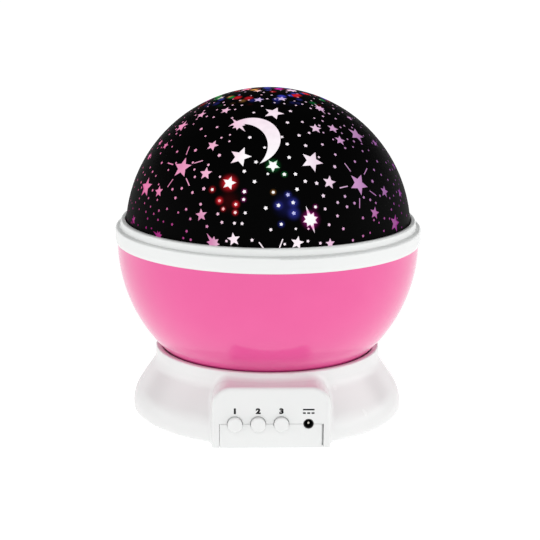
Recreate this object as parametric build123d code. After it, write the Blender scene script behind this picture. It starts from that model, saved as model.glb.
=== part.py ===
"""Star night light projector: a turning head with a star-pierced dome on a flared base.

Millimetres, +Z up, front is -Y. The origin is on the turning axis, level with the feet.
Fixed in the base: shells, light column, lamps, gear motor, boards and cells.
Turning: bowl, ring, dome, plate and drive gear. Also moving: motor pinion, buttons, battery door.
"""
from build123d import *
import math
import os

os.makedirs("parts", exist_ok=True)

# ---- clearances, shared by every fit -------------------------------------------------
RUNNING_FIT = 0.05        # radial, a shaft in its bearing
SEAM_GAP = 0.15           # two mouldings that meet and stay put
SLIDE_GAP = 0.3           # a moving piece beside a fixed one
SCREW_FIT = 0.05          # radial, a screw's shank in its hole
PRESS_SEAT = 0.02         # radial, a hub pushed on its shaft
CUT = 1.0                 # a cutting shape runs this far past the face it cuts

# ---- head: dome, ring and bowl -------------------------------------------------------
dome_r = 59.75            # outside of the black skin
dome_lift = 1.5           # the dome's centre stands this far above the plate's seat
skin_thickness = 0.3
lens_thickness = 1.2
flange_reach = 1.45       # lens flange, plate and bowl spigot, outside the skin
flange_thickness = 1.6
plate_thickness = 1.6
ring_wall = 2.65          # the ring's wide band, outside the lens flange
ring_band_height = 6.7
ring_lip_width = 1.9      # the narrow lip above the band, outside the skin
ring_lip_height = 3.0
ring_lip_cover = 3.7      # the lip's whole height above the lens flange
ring_overhang = 0.75      # the band stands this far outside the bowl
bowl_wall = 1.8
bowl_floor_thickness = 2.0
spigot_wall = 1.8
spigot_overlap = 4.3      # how far the spigot runs down inside the bowl's wall
plate_rim_wall = 1.5
plate_rim_height = 1.6
plate_post_r = 3.0
plate_post_inset = 7.7    # from the plate's edge to the posts' centres

# ---- base: neck, flare, porch and lower cover ----------------------------------------
foot_proud = 0.8
foot_r = 4.5
foot_recess = 0.6
foot_inset = 5.4          # from the cover's edge to the feet
foot_bearing = 32.28      # degrees from the X axis
base_wall = 2.0
base_edge_round = 1.7
flare_reach = 9.6         # the base's widest radius, outside the neck
flare_angle = 34.0        # degrees from upright
flare_low_round = 15.0
flare_high_round = 8.0
neck_wall = 2.0
neck_rise = 1.2           # the flare runs out this far above the deck
neck_overlap = 1.6        # the neck's rim stands this far above the bowl's floor
neck_gap = 0.7            # between the neck's rim and the turning bowl
deck_thickness = 2.0
lead_room = 3.2           # between the battery bay and the deck
porch_half_width = 23.7
porch_drop = 2.8          # the porch's top, below the neck's rim
porch_bite = 6.0          # the porch's block runs this far back inside the neck
porch_corner_round = 7.6
porch_edge_round = 1.4
porch_blend_round = 3.0   # the hollow where the porch runs into the flare
cover_thickness = 2.4
tab_inset = 3.1           # from the porch's side to the cover's front tab
pry_slot_width = 0.6      # beside the tab's right edge, for the blade that lifts the cover
pry_slot_depth = 1.6
pry_slot_floor = 1.0
control_z = 10.8          # buttons, inlet and the top of the tab
post_r = 3.4
post_y = 31.0
post_gap = 3.2            # between the battery bay and the screw seats
post_seat_height = 2.3    # the cover's screw seats stand this far above it
post_seat_r = 4.2
screw_recess = 2.2        # the base screws' heads lie this deep in the cover

# ---- bearing and drive ---------------------------------------------------------------
column_r = 5.0
column_wall = 1.6
column_drop = 3.0         # the column stops this far below the reflector plate
column_flange_thickness = 1.4
column_flange_edge = 2.6  # outside the flange's screws
column_screw_gap = 0.5    # between the turning hub and the screw heads
washer_inset = 0.2
washer_thickness = 0.6
hub_r = 8.0
hub_rise = 6.0            # the bearing hub stands this far above the bowl's floor
hub_gap = 0.2
clip_r = 7.4
clip_thickness = 0.8
clip_groove_depth = 0.6
MODULE = 1.0
PRESSURE_ANGLE = math.radians(20.0)
gear_teeth = 60
pinion_teeth = 13
gear_face = 4.0
gear_web = 1.6
gear_rim_wall = 1.9       # below the tooth roots
gear_rib_width = 1.2
gear_backlash = 0.3       # at the pitch circle
tooth_addendum = 0.8
tooth_root_depth = 1.1
gear_screw_circle_r = 19.0
gear_screw_seat = 1.4     # above the gear's underside
gear_pad_r = 3.2
gear_boss_r = 2.8
gear_boss_cap = 0.8       # above the screw's blind hole
pinion_hang = 0.4         # the pinion stops this far below the bowl's floor
pinion_face = 4.9
shaft_r = 1.5
shaft_flat = 0.4
shaft_hole_gap = 1.0
motor_r = 10.0
motor_gap = 0.65          # between the gearbox and the base's wall
motor_gearbox_height = 7.0
motor_can_r = 7.8
motor_can_height = 5.4
motor_ear_out = 3.5       # the ears' screws, outside the gearbox
motor_ear_r = 3.0
motor_ear_thickness = 1.2

# ---- lamps and controls --------------------------------------------------------------
led_board_edge = 2.4
board_thickness = 1.6
lamp_room = 1.5           # between the lamp board's edge and the plate's opening
led_r = 2.5
led_height = 8.6
led_lip = 0.4
led_lip_height = 1.0
led_gap = 0.14            # between neighbouring lamps
led_leg_r = 0.25
led_leg_half_pitch = 1.27
button_r = 2.95
button_hole_gap = 0.22
button_proud = 1.7
button_travel = 1.5
button_flange_reach = 0.75
button_flange_thickness = 1.0
button_tail = 1.0         # the cap's socket behind its flange
button_inset = 9.1        # from the porch's left side to the first button
button_pitch = 9.25
button_count = 3
plunger_width = 2.4
plunger_in_cap = 1.8
plunger_length = 6.4
plunger_end_room = 1.2
switch_width = 7.0
switch_length = 7.4
switch_rest_gap = 0.8     # left between cap and switch when a button is fully pressed
jack_inset = 9.0          # from the porch's right side to the inlet
jack_nose_r = 1.95
jack_nose_wall = 0.25
jack_pin_r = 0.5
jack_pin_recess = 0.8
jack_recess = 0.4
jack_width = 7.0
jack_length = 10.0
jack_bore_depth = 8.0
board_side_gap = 0.7
board_length = 22.0
board_post_r = 2.0
chip_r = 3.5
chip_height = 1.2

# ---- cells and door ------------------------------------------------------------------
cell_r = 5.25
cell_length = 43.7
cell_nub_r = 1.9
cell_nub_length = 0.8
cell_gap = 0.4
cell_count = 4
bay_centre_y = 6.0
bay_wall = 1.5
bay_side_gap = 0.5
bay_roof_gap = 0.3
contact_thickness = 0.4
contact_width = 8.0
spring_room = 3.7
spring_width = 4.0
spring_strip = 1.1        # the bowed leaf's width where it leaves its plate
spring_leaf = 0.35
door_ledge = 1.0          # the rebate round the bay that the door closes on
door_thickness = 1.5
door_floor_gap = 0.05     # the door lies this far inside the cover's underside
door_grip_half_width = 6.0
door_grip_pitch = 2.0
hook_width = 3.0
hook_thickness = 0.9
hook_reach = 1.2

# ---- screws and leads ----------------------------------------------------------------
screw_head_height = 1.3
screw_slot_width = 0.6
screw_tip_room = 0.6      # below a screw's tip in a blind hole
fine_screw_r = 0.95
motor_screw_length = 2.6
column_screw_length = 2.8
head_screw_r = 1.0
plate_screw_length = 7.0
gear_screw_length = 6.2
base_screw_r = 1.2
base_screw_length = 9.0
led_lead_r = 1.1
thin_lead_r = 0.9
lead_inset = 2.0          # from the board's back edge
motor_lead_x = 17.0
motor_lead_run = 9.0      # back along the board before it meets the can's middle line
battery_lead_x = -13.0
battery_lead_rise = 5.0   # above the board

# ---- worked out from the above -------------------------------------------------------
# upwards through the base
base_z = foot_proud
cover_top_z = base_z + cover_thickness
cell_z = cover_top_z + bay_roof_gap + cell_r
bay_inner_top_z = cell_z + cell_r + bay_roof_gap
bay_top_z = bay_inner_top_z + bay_wall
deck_z = bay_top_z + lead_room
deck_top_z = deck_z + deck_thickness
column_flange_top_z = deck_top_z + column_flange_thickness
washer_top_z = column_flange_top_z + washer_thickness
gear_z = washer_top_z
gear_top_z = gear_z + gear_face
bowl_floor_z = gear_top_z
hub_top_z = bowl_floor_z + hub_rise
clip_z = hub_top_z + SLIDE_GAP
pinion_top_z = bowl_floor_z - pinion_hang
pinion_z = pinion_top_z - pinion_face
neck_bottom_z = deck_top_z + neck_rise
neck_top_z = bowl_floor_z + neck_overlap
porch_top_z = neck_top_z - porch_drop

# outwards from the gears to the neck, the flare and the cover
centre_distance = MODULE * (gear_teeth + pinion_teeth) / 2
flare_slope = math.tan(math.radians(flare_angle))
wall_across_slope = base_wall / math.cos(math.radians(flare_angle))
motor_wall_r = centre_distance + motor_r + motor_gap
neck_r = motor_wall_r + wall_across_slope - (neck_bottom_z - deck_z) * flare_slope
recess_r = neck_r - neck_wall
base_r = neck_r + flare_reach
cover_r = base_r - base_wall - SEAM_GAP
foot_circle_r = cover_r - foot_inset - foot_r
foot_x = foot_circle_r * math.cos(math.radians(foot_bearing))
foot_y = foot_circle_r * math.sin(math.radians(foot_bearing))

# the dome's fit in its ring, then upwards from the neck to the dome
flange_r = dome_r + flange_reach
skin_inner_r = dome_r - skin_thickness
lens_r = skin_inner_r - RUNNING_FIT
lens_inner_r = lens_r - lens_thickness
ring_r = flange_r + SEAM_GAP + ring_wall
ring_lip_r = dome_r + SEAM_GAP + ring_lip_width
bowl_r = ring_r - ring_overhang
bowl_inner_r = bowl_r - bowl_wall
bowl_centre_z = neck_top_z + math.sqrt(bowl_r ** 2 - (recess_r - neck_gap) ** 2)
ring_bottom_z = bowl_centre_z
ring_step_z = ring_bottom_z + ring_band_height
ring_top_z = ring_step_z + ring_lip_height
ring_seat_z = ring_top_z - ring_lip_cover
lens_flange_z = ring_seat_z - SEAM_GAP - flange_thickness
plate_z = lens_flange_z - plate_thickness
dome_centre_z = plate_z + dome_lift
plate_screw_circle_r = flange_r - plate_post_inset
column_top_z = plate_z - column_drop
led_board_top_z = column_top_z + board_thickness

# round the turning axis
column_bore_r = column_r - column_wall
washer_r = hub_r - washer_inset
column_screw_circle_r = hub_r + column_screw_gap + 2 * fine_screw_r
column_flange_r = column_screw_circle_r + column_flange_edge
led_flange_r = led_r + led_lip
led_spread = (2 * led_flange_r + led_gap) / math.sqrt(2)
led_board_r = led_spread + led_flange_r + led_board_edge
plate_opening_r = led_board_r + lamp_room
motor_ear_reach = motor_r + motor_ear_out
gear_screw_hole_top_z = gear_z + gear_screw_seat + gear_screw_length + head_screw_r + screw_tip_room

# battery bay, controls and panel
cell_pitch = 2 * cell_r + cell_gap
bay_half_width = cell_pitch * (cell_count - 1) / 2 + cell_r + bay_side_gap
bay_length = cell_length + cell_nub_length + spring_room + 2 * contact_thickness
bay_front_y = bay_centre_y - bay_length / 2
bay_back_y = bay_centre_y + bay_length / 2
post_x = bay_half_width + bay_wall + post_gap + post_seat_r
hook_top_z = cover_top_z + SLIDE_GAP + hook_thickness
porch_front_y = -base_r
wall_back_y = porch_front_y + base_wall
porch_inner_half = porch_half_width - base_wall
porch_reach_y = neck_wall + porch_bite - recess_r
tab_half_width = porch_half_width - tab_inset
button_flange_r = button_r + button_flange_reach
cap_tail_y = wall_back_y + SLIDE_GAP + button_flange_thickness + button_tail
switch_front_y = cap_tail_y + button_travel + switch_rest_gap
switch_bore_depth = plunger_length - plunger_in_cap - switch_rest_gap + plunger_end_room
board_top_z = control_z - switch_width / 2
board_z = board_top_z - board_thickness
board_front_y = cap_tail_y + button_travel + SLIDE_GAP
board_back_y = board_front_y + board_length
board_half_width = porch_inner_half - board_side_gap
lead_start_y = board_back_y - lead_inset
button_first_x = button_inset - porch_half_width
jack_x = porch_half_width - jack_inset
jack_bore_r = jack_nose_r - jack_nose_wall
jack_front_y = porch_front_y + jack_recess
jack_back_y = jack_front_y + base_wall + jack_length


# ---- shape helpers -------------------------------------------------------------------
def turned(*corners):
    """Turn an outline about Z. Each corner is radius, height and how much it is rounded."""
    outline = make_face(Polyline(*[(r, z) for r, z, _ in corners], close=True))
    for r, z, rounding in corners:
        if rounding > 0:
            outline = fillet(outline.vertices().sort_by_distance((r, z))[0], rounding)
    return revolve(Plane.XZ * outline, Axis.Z)


def upright(radius, low, high, x=0.0, y=0.0):
    """A vertical cylinder."""
    return Pos(x, y, (low + high) / 2) * Cylinder(radius, high - low)


def forward_rod(radius, front, back, x, z):
    """A cylinder along Y."""
    return Pos(x, (front + back) / 2, z) * Rot(90, 0, 0) * Cylinder(radius, back - front)


def block(x_low, x_high, y_low, y_high, z_low, z_high):
    """A box given by its faces."""
    centre = ((x_low + x_high) / 2, (y_low + y_high) / 2, (z_low + z_high) / 2)
    return Pos(*centre) * Box(x_high - x_low, y_high - y_low, z_high - z_low)


def around(radius, count, first_angle=0.0):
    """Points evenly spaced on a circle."""
    angles = [math.radians(first_angle + 360 * i / count) for i in range(count)]
    return [(radius * math.cos(a), radius * math.sin(a)) for a in angles]


def four_corners(x, y):
    return [(side_x * x, side_y * y) for side_x in (-1, 1) for side_y in (-1, 1)]


def group(shapes):
    """Separate solids that share one node."""
    return Compound([solid for shape in shapes for solid in shape.solids()])


def screw(shank_r, length, x, y, seat_z, up=True):
    """A pan-head screw whose head bears on seat_z and whose shank goes up or down."""
    head_r = 2.0 * shank_r
    shank = upright(shank_r, 0, length) + Pos(0, 0, length + shank_r / 2) * Cone(
        shank_r, 0.4 * shank_r, shank_r)
    head = turned((0, -screw_head_height, 0), (head_r, -screw_head_height, 0.5),
                  (head_r, 0, 0), (0, 0, 0))
    half = screw_slot_width / 2
    slot = block(-head_r, head_r, -half, half, -screw_head_height, -0.6 * screw_head_height)
    body = head + shank - slot
    return Pos(x, y, seat_z) * (body if up else Rot(180, 0, 0) * body)


# ---- dome skin: the star-pierced mask ------------------------------------------------
def star(reaches):
    """A flat star whose outline reaches these distances in turn, spaced evenly from the y axis."""
    corners = []
    for step, reach in enumerate(reaches):
        angle = math.radians(90 + 360 * step / len(reaches))
        corners.append((reach * math.cos(angle), reach * math.sin(angle)))
    return make_face(Polyline(*corners, close=True))


def five_point(tip_r):
    return star([tip_r, 0.45 * tip_r] * 5)


def burst(tip_r):
    """An eight-point star with two long tips that face away from each other."""
    short_r, valley_r = 0.57 * tip_r, 0.34 * tip_r
    return star(([tip_r, valley_r] + [short_r, valley_r] * 3) * 2)


def stroke(length):
    return Rectangle(STROKE_WIDTH, length)


def rays(tip_r, turn):
    """Five thin strokes that stand off a star's tips, turned a little from them."""
    ray = Pos(0, 1.68 * tip_r) * stroke(0.85 * tip_r)
    return [Rot(0, 0, turn + 72 * i) * ray for i in range(5)]


def crescent(outer_r):
    """The moon, with a burst at its upper horn and a bead on its back."""
    bite = Pos(-0.48 * outer_r, 0) * Circle(outer_r)
    horn = Pos(0.07 * outer_r, 0.80 * outer_r) * burst(0.43 * outer_r)
    bead = Pos(0.93 * outer_r, -0.48 * outer_r) * five_point(0.075 * outer_r)
    return [(Circle(outer_r) - bite) + horn + bead]


# azimuth and elevation in degrees seen from the dome's centre, tip radius in mm, turn in degrees
SINGLE_STARS = [
    (2, 63, 4.3, -24), (-16, 40, 4.6, -12), (19, 38, 4.7, -32), (0, 36.6, 2.9, -37),
    (-19, 29, 3.0, -10), (-31, 32, 2.8, 6), (-33, 44, 2.7, -8), (25, 29, 2.9, -18),
    (-29, 16, 2.6, 12), (-15, 8, 2.7, 10), (9, 7, 2.7, -12), (-65, 22, 4.5, 10),
    (-54, 22, 2.6, 14), (-69, 50, 3.6, 20), (-68, 40, 2.0, 5), (-78, 40, 2.0, 30),
    (-80, 33, 2.3, 10), (-62, 58, 2.5, 30), (-42, 63, 2.5, 12), (-16, 73, 2.4, 0),
    (16, 74, 2.4, -20), (29, 53, 2.7, -20), (42, 52, 2.7, -35), (41, 46, 2.6, -28),
    (58, 47, 4.3, -45), (72, 41, 2.4, -30), (72, 55, 2.0, -10), (55, 22, 2.7, -25),
    (45, 15, 2.7, -20), (58, 9, 3.9, -22), (70, 19, 2.6, -30), (79, 29, 2.4, -12),
    (-70, 8, 2.4, 20), (22, 6, 2.1, 0), (-42, 83, 2.3, 2), (-79, 70, 2.4, 0),
]
RAYED_STARS = [(-45, 33, 4.6, 5, 6), (40, 27, 4.7, -40, -13)]     # last: the rays' own turn
BURSTS = [(14.5, 15.4, 5.6, 15), (49.5, 64, 4.4, -12), (-23, 6, 4.9, 39), (-49, 5.4, 4.0, 68),
          (80, 81, 5.4, 66)]
STROKES = [(-4.2, 5.8, 4.0, 37), (2.9, 6.9, 3.6, -21)]             # length in mm for tip radius
STROKE_WIDTH = 0.45
MOON = (-13, 48, 12.15, 41)
PATTERN_REPEATS = 2


def on_dome(azimuth, elevation, turn):
    """A plane that touches the dome, its y axis towards the top, turned about its normal."""
    a, e, t = math.radians(azimuth), math.radians(elevation), math.radians(turn)
    out = Vector(math.sin(a) * math.cos(e), -math.cos(a) * math.cos(e), math.sin(e))
    east = Vector(math.cos(a), math.sin(a), 0)
    spot = Vector(0, 0, dome_centre_z) + out * dome_r
    x_dir = east * math.cos(t) + out.cross(east) * math.sin(t)
    return Plane(origin=spot, x_dir=x_dir, z_dir=out)


def windows():
    """One punch for each window, along its own radius of the dome."""
    punches = []
    motifs = [(row, [five_point(row[2])]) for row in SINGLE_STARS]
    motifs += [(row[:4], [five_point(row[2])] + rays(row[2], row[4])) for row in RAYED_STARS]
    motifs += [(row, [burst(row[2])]) for row in BURSTS]
    motifs += [(row, [stroke(row[2])]) for row in STROKES]
    motifs += [(MOON, crescent(MOON[2]))]
    for repeat in range(PATTERN_REPEATS):
        round_by = 360 * repeat / PATTERN_REPEATS
        for (azimuth, elevation, _, turn), shapes in motifs:
            plane = on_dome(azimuth + round_by, elevation, turn)
            for shape in shapes:
                punches += extrude(plane * shape, 2.0, both=True).solids()
    return punches


def dome_shell(outer_r, inner_r, low_z):
    """A domed shell cut level at its foot."""
    shell = Pos(0, 0, dome_centre_z) * (Sphere(outer_r) - Sphere(inner_r))
    return shell & upright(2 * dome_r, low_z, dome_centre_z + 2 * dome_r)


def star_mask():
    skin = dome_shell(dome_r, skin_inner_r, ring_seat_z)
    return skin.cut(*windows())


def dome_lens():
    flange = turned((lens_inner_r, lens_flange_z, 0), (flange_r, lens_flange_z, 0),
                    (flange_r, lens_flange_z + flange_thickness, 0.4),
                    (lens_inner_r, lens_flange_z + flange_thickness, 0))
    return dome_shell(lens_r, lens_inner_r, lens_flange_z) + flange


def dome_ring():
    spigot_r = flange_r + SEAM_GAP
    return turned(
        (spigot_r, ring_bottom_z, 0), (bowl_r + 0.4, ring_bottom_z, 0.6),
        (ring_r, ring_bottom_z + 1.8, 1.0), (ring_r, ring_step_z, 1.0),
        (ring_lip_r + 0.2, ring_step_z, 0.3), (ring_lip_r - 0.1, ring_top_z, 0.9),
        (dome_r + SEAM_GAP, ring_top_z, 0.25), (dome_r + SEAM_GAP, ring_seat_z, 0),
        (spigot_r, ring_seat_z, 0))


# ---- bowl and plate ------------------------------------------------------------------
def bowl():
    """The pink half-sphere with a flat bearing floor, a spigot for the ring and three posts."""
    outside = Pos(0, 0, bowl_centre_z) * Sphere(bowl_r)
    outside &= upright(2 * bowl_r, bowl_floor_z, bowl_centre_z)
    inside = Pos(0, 0, bowl_centre_z) * Sphere(bowl_inner_r)
    inside &= upright(2 * bowl_r, bowl_floor_z + bowl_floor_thickness, bowl_centre_z + CUT)
    posts = [upright(plate_post_r, bowl_floor_z, plate_z, x, y)
             for x, y in around(plate_screw_circle_r, 3, 30)]
    shell = outside - inside
    for post in posts:
        shell += post & (outside + upright(flange_r, bowl_centre_z - CUT, plate_z))
    root_r = bowl_inner_r + bowl_wall / 3
    spigot = turned((flange_r - spigot_wall, bowl_centre_z - spigot_overlap, 0),
                    (root_r, bowl_centre_z - spigot_overlap, 0), (root_r, bowl_centre_z, 0),
                    (flange_r, bowl_centre_z, 0), (flange_r, plate_z, 0),
                    (flange_r - spigot_wall, plate_z, 0))
    shell += spigot & (outside + upright(flange_r, bowl_centre_z - CUT, plate_z))
    shell -= upright(hub_r + hub_gap, bowl_floor_z - CUT, hub_top_z + CUT)
    hole_r = head_screw_r + SCREW_FIT
    hole_low_z = lens_flange_z - plate_screw_length - head_screw_r - screw_tip_room
    for x, y in around(plate_screw_circle_r, 3, 30):
        shell -= upright(hole_r, hole_low_z, plate_z + CUT, x, y)
    for x, y in around(gear_screw_circle_r, 3, 90):
        shell += upright(gear_boss_r, bowl_floor_z + bowl_floor_thickness - CUT,
                         gear_screw_hole_top_z + gear_boss_cap, x, y)
        shell -= upright(hole_r, bowl_floor_z - CUT, gear_screw_hole_top_z, x, y)
    return shell


def reflector_plate():
    """A flat white disc with a rim round the lamps."""
    rim_r = plate_opening_r + plate_rim_wall
    disc = turned((plate_opening_r, plate_z, 0), (flange_r, plate_z, 0),
                  (flange_r, lens_flange_z, 0.3), (rim_r, lens_flange_z, 0.8),
                  (rim_r, lens_flange_z + plate_rim_height, 0.5),
                  (plate_opening_r, lens_flange_z + plate_rim_height, 0.4))
    for x, y in around(plate_screw_circle_r, 3, 30):
        disc -= upright(head_screw_r + SCREW_FIT, plate_z - CUT, lens_flange_z + CUT, x, y)
    return disc


def plate_screws():
    return group([screw(head_screw_r, plate_screw_length, x, y, lens_flange_z, up=False)
                  for x, y in around(plate_screw_circle_r, 3, 30)])


# ---- gears ---------------------------------------------------------------------------
def involute(angle):
    return math.tan(angle) - angle


def toothed_outline(teeth, first_tooth_angle):
    """An involute gear outline, three points to a flank, thinned for backlash."""
    pitch_r = MODULE * teeth / 2
    base_circle_r = pitch_r * math.cos(PRESSURE_ANGLE)
    root_r = pitch_r - tooth_root_depth * MODULE
    tip_r = pitch_r + tooth_addendum * MODULE
    start_r = max(base_circle_r, root_r)
    half_tooth = math.pi / (2 * teeth) - gear_backlash / (4 * pitch_r) + involute(PRESSURE_ANGLE)
    flank = [(start_r + (tip_r - start_r) * share) for share in (0.0, 0.5, 1.0)]
    rows = [(r, half_tooth - involute(math.acos(min(1.0, base_circle_r / r)))) for r in flank]
    if root_r < start_r:
        rows.insert(0, (root_r, rows[0][1]))
    corners = []
    for tooth in range(teeth):
        middle = first_tooth_angle + 2 * math.pi * tooth / teeth
        for r, half in rows:
            corners.append((r * math.cos(middle - half), r * math.sin(middle - half)))
        for r, half in reversed(rows):
            corners.append((r * math.cos(middle + half), r * math.sin(middle + half)))
    return make_face(Polyline(*corners, close=True))


def drive_gear():
    """Ring gear, web and bearing hub in one nylon moulding."""
    rim_inner_r = MODULE * (gear_teeth / 2 - tooth_root_depth) - gear_rim_wall
    ring = extrude(Pos(0, 0, gear_z) * toothed_outline(gear_teeth, 0.0), gear_face)
    web_z = gear_top_z - gear_web
    ring -= upright(rim_inner_r, gear_z - CUT, web_z)
    hub = upright(hub_r, washer_top_z + RUNNING_FIT, hub_top_z)
    gear = ring + hub
    rib_z = column_flange_top_z + screw_head_height + SLIDE_GAP
    for angle in range(0, 360, 60):
        rib = block(hub_r - 0.5, rim_inner_r + 0.5, -gear_rib_width / 2, gear_rib_width / 2, rib_z, web_z)
        gear += Rot(0, 0, angle) * rib
    gear -= upright(column_r + RUNNING_FIT, gear_z - CUT, hub_top_z + CUT)
    seat_z = gear_z + gear_screw_seat
    for x, y in around(gear_screw_circle_r, 3, 90):
        gear += upright(gear_pad_r, seat_z, gear_top_z, x, y)
        gear -= upright(head_screw_r + SCREW_FIT, gear_z - CUT, gear_top_z + CUT, x, y)
        gear -= upright(2 * head_screw_r + SEAM_GAP, gear_z - CUT, seat_z, x, y)
    return gear


def gear_screws():
    return group([screw(head_screw_r, gear_screw_length, x, y, gear_z + gear_screw_seat)
                  for x, y in around(gear_screw_circle_r, 3, 90)])


def pinion():
    facing_gap = math.pi + math.pi / pinion_teeth
    blank = extrude(Pos(centre_distance, 0, pinion_z) * toothed_outline(pinion_teeth, facing_gap),
                    pinion_face)
    return blank - motor_shaft_form(shaft_r + PRESS_SEAT, pinion_z - CUT, pinion_top_z + CUT)


def motor_shaft_form(radius, low, high):
    """A round shaft with one flat."""
    flat_x = centre_distance + radius - shaft_flat
    return upright(radius, low, high, centre_distance) - block(
        flat_x, flat_x + radius, -2 * radius, 2 * radius, pinion_z - 2 * CUT, high + CUT)


def motor_shaft():
    return motor_shaft_form(shaft_r, deck_z - motor_gearbox_height + shaft_r, pinion_top_z)


# ---- motor ---------------------------------------------------------------------------
def gear_motor():
    """Round reduction gearbox with two ears, the small motor can hung under it."""
    top = deck_z
    can_top = top - motor_gearbox_height
    box = turned((0, can_top, 0), (motor_r, can_top, 0.6), (motor_r, top, 0.4), (0, top, 0))
    can = turned((0, can_top - motor_can_height, 0), (motor_can_r, can_top - motor_can_height, 1.2),
                 (motor_can_r, can_top + 0.5, 0), (0, can_top + 0.5, 0))
    ear = block(-motor_ear_r, motor_ear_r, -motor_ear_reach, motor_ear_reach,
                top - motor_ear_thickness, top)
    body = Pos(centre_distance, 0, 0) * (box + can + ear)
    for side in (-1, 1):
        y = side * motor_ear_reach
        body += upright(motor_ear_r, top - motor_ear_thickness, top, centre_distance, y)
        body -= upright(fine_screw_r + SCREW_FIT, top - motor_ear_thickness - CUT, top + CUT,
                        centre_distance, y)
    body -= upright(shaft_r + RUNNING_FIT, can_top + 1.0, top + CUT, centre_distance)
    return body


def motor_screws():
    return group([screw(fine_screw_r, motor_screw_length, centre_distance, side * motor_ear_reach,
                        deck_z - motor_ear_thickness) for side in (-1, 1)])


# ---- light column, washer, clip, lamps -----------------------------------------------
def light_column():
    """The hollow post that the head turns on; the lamp lead runs up inside it."""
    tube = upright(column_r, deck_z, column_top_z)
    flange = turned((0, deck_top_z, 0), (column_flange_r, deck_top_z, 0),
                    (column_flange_r, column_flange_top_z, 0.4), (0, column_flange_top_z, 0))
    groove = upright(column_r + CUT, clip_z, clip_z + clip_thickness + SEAM_GAP) - upright(
        column_r - clip_groove_depth, clip_z - CUT, clip_z + clip_thickness + CUT)
    column = tube + flange - groove - upright(column_bore_r, deck_z - CUT, column_top_z + CUT)
    for x, y in around(column_screw_circle_r, 3, 30):
        column -= upright(fine_screw_r + SCREW_FIT, deck_top_z - CUT, column_flange_top_z + CUT, x, y)
    return column


def column_screws():
    return group([screw(fine_screw_r, column_screw_length, x, y, column_flange_top_z, up=False)
                  for x, y in around(column_screw_circle_r, 3, 30)])


def thrust_washer():
    return upright(washer_r, column_flange_top_z, washer_top_z) - upright(
        column_r + RUNNING_FIT, deck_top_z, washer_top_z + CUT)


def retaining_clip():
    """An open spring ring snapped into the column's groove."""
    inner_r = column_r - clip_groove_depth + SCREW_FIT
    ring = upright(clip_r, clip_z + SCREW_FIT, clip_z + SCREW_FIT + clip_thickness)
    above_z = clip_z + clip_thickness + CUT
    ring -= upright(inner_r, clip_z - CUT, above_z)
    return ring - block(0, clip_r + CUT, -0.72 * inner_r, 0.72 * inner_r, clip_z - CUT, above_z)


def led_places():
    return around(led_spread, 4, 90)


def led_board():
    board = upright(led_board_r, column_top_z, led_board_top_z)
    for x, y in led_places():
        for leg in (-1, 1):
            board -= upright(led_leg_r + SCREW_FIT, column_top_z - CUT, led_board_top_z + CUT,
                             x + leg * led_leg_half_pitch, y)
    return board


def led(index):
    """A five-millimetre bullet lamp with its two legs."""
    x, y = led_places()[index]
    top = led_board_top_z + led_height
    lip_top = led_board_top_z + led_lip_height
    lamp = turned((0, led_board_top_z, 0), (led_flange_r, led_board_top_z, 0),
                  (led_flange_r, lip_top, led_lip / 2), (led_r, lip_top, 0),
                  (led_r, top, led_r * 0.96), (0, top, 0))
    for leg in (-1, 1):
        lamp += upright(led_leg_r, column_top_z + SEAM_GAP, lip_top, leg * led_leg_half_pitch, 0)
    return Pos(x, y, 0) * lamp


# ---- base shell ----------------------------------------------------------------------
def flare_round(rounding, wall):
    """A fillet between an upright wall and the flare, limited by the wall's height."""
    return min(rounding, 0.95 * wall / math.tan(math.radians(flare_angle / 2)))


def base_outside():
    low_z = neck_bottom_z - flare_reach / flare_slope
    low_round = flare_round(flare_low_round, low_z - base_z - base_edge_round)
    high_round = flare_round(flare_high_round, neck_top_z - neck_bottom_z - neck_gap)
    return turned((0, base_z, 0), (base_r, base_z, base_edge_round), (base_r, low_z, low_round),
                  (neck_r, neck_bottom_z, high_round), (neck_r, neck_top_z, neck_gap),
                  (0, neck_top_z, 0))


def arch(half_width, low_z, high_z, rounding, front_y, back_y):
    """A block along Y whose two upper edges are rounded."""
    outline = Pos(0, (low_z + high_z) / 2) * Rectangle(2 * half_width, high_z - low_z)
    outline = fillet(outline.vertices().group_by(Axis.Y)[-1], rounding)
    front = Plane(origin=(0, front_y, 0), x_dir=(1, 0, 0), z_dir=(0, -1, 0))
    return extrude(front * outline, front_y - back_y)


def porch_outside():
    """The control panel's block, rounded at its top corners and all round its front face."""
    porch = arch(porch_half_width, base_z, porch_top_z, porch_corner_round, porch_front_y, porch_reach_y)
    front_edges = porch.faces().sort_by(Axis.Y)[0].edges()
    return fillet([e for e in front_edges if e.center().Z > base_z + 0.1], porch_edge_round)


def base_cavity():
    """Everything below the deck, inside the flare."""
    inner_r = base_r - base_wall
    low_z = neck_bottom_z - (inner_r + wall_across_slope - neck_r) / flare_slope
    rounding = flare_round(flare_low_round - base_wall, low_z - base_z)
    return turned((0, base_z - CUT, 0), (inner_r, base_z - CUT, 0), (inner_r, low_z, rounding),
                  (motor_wall_r, deck_z, 0), (0, deck_z, 0))


def control_holes():
    """Round holes that the shell and the cover's tab share, half in each."""
    front, back = porch_front_y - CUT, wall_back_y + CUT
    holes = [forward_rod(button_r + button_hole_gap, front, back, button_x(i), control_z)
             for i in range(button_count)]
    return holes + [forward_rod(jack_nose_r + SEAM_GAP, front, back, jack_x, control_z)]


def button_x(index):
    return button_first_x + index * button_pitch


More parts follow.
